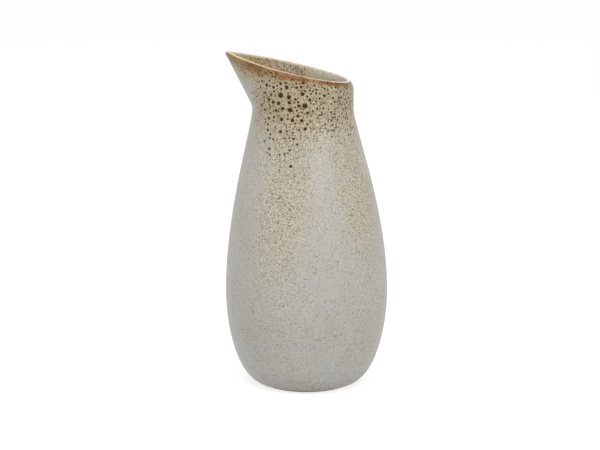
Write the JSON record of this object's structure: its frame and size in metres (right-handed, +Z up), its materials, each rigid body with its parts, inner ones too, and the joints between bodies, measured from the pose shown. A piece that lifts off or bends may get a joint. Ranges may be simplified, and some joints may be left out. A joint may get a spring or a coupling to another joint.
{
  "type": "carafe jug",
  "caption": "Handleless stoneware carafe jug with a full belly, a drawn-in neck, a pinched pouring spout and a slanted rust-brown lip, in speckled pale glaze over clay.",
  "frame": {"origin": "on the table under the middle of the belly, which is the middle of the outline seen from above", "axes": "+Z up, the spout along -X, the jug mirrored about the XZ plane"},
  "size_m": [0.1172, 0.117, 0.24],
  "materials": {
    "stoneware": "matt bare fired clay",
    "speckled_glaze": "satin, pale grey with tan speckle and dark brown spots on the neck",
    "liner_glaze": "satin, pale grey with fine brown spots",
    "rust_glaze": "satin, rust brown, thin and pale on the edge"
  },
  "bodies": {
    "root": {"stoneware_body": "stoneware", "outer_glaze": "speckled_glaze", "liner_glaze": "liner_glaze", "lip_glaze": "rust_glaze"}
  },
  "joints": []
}
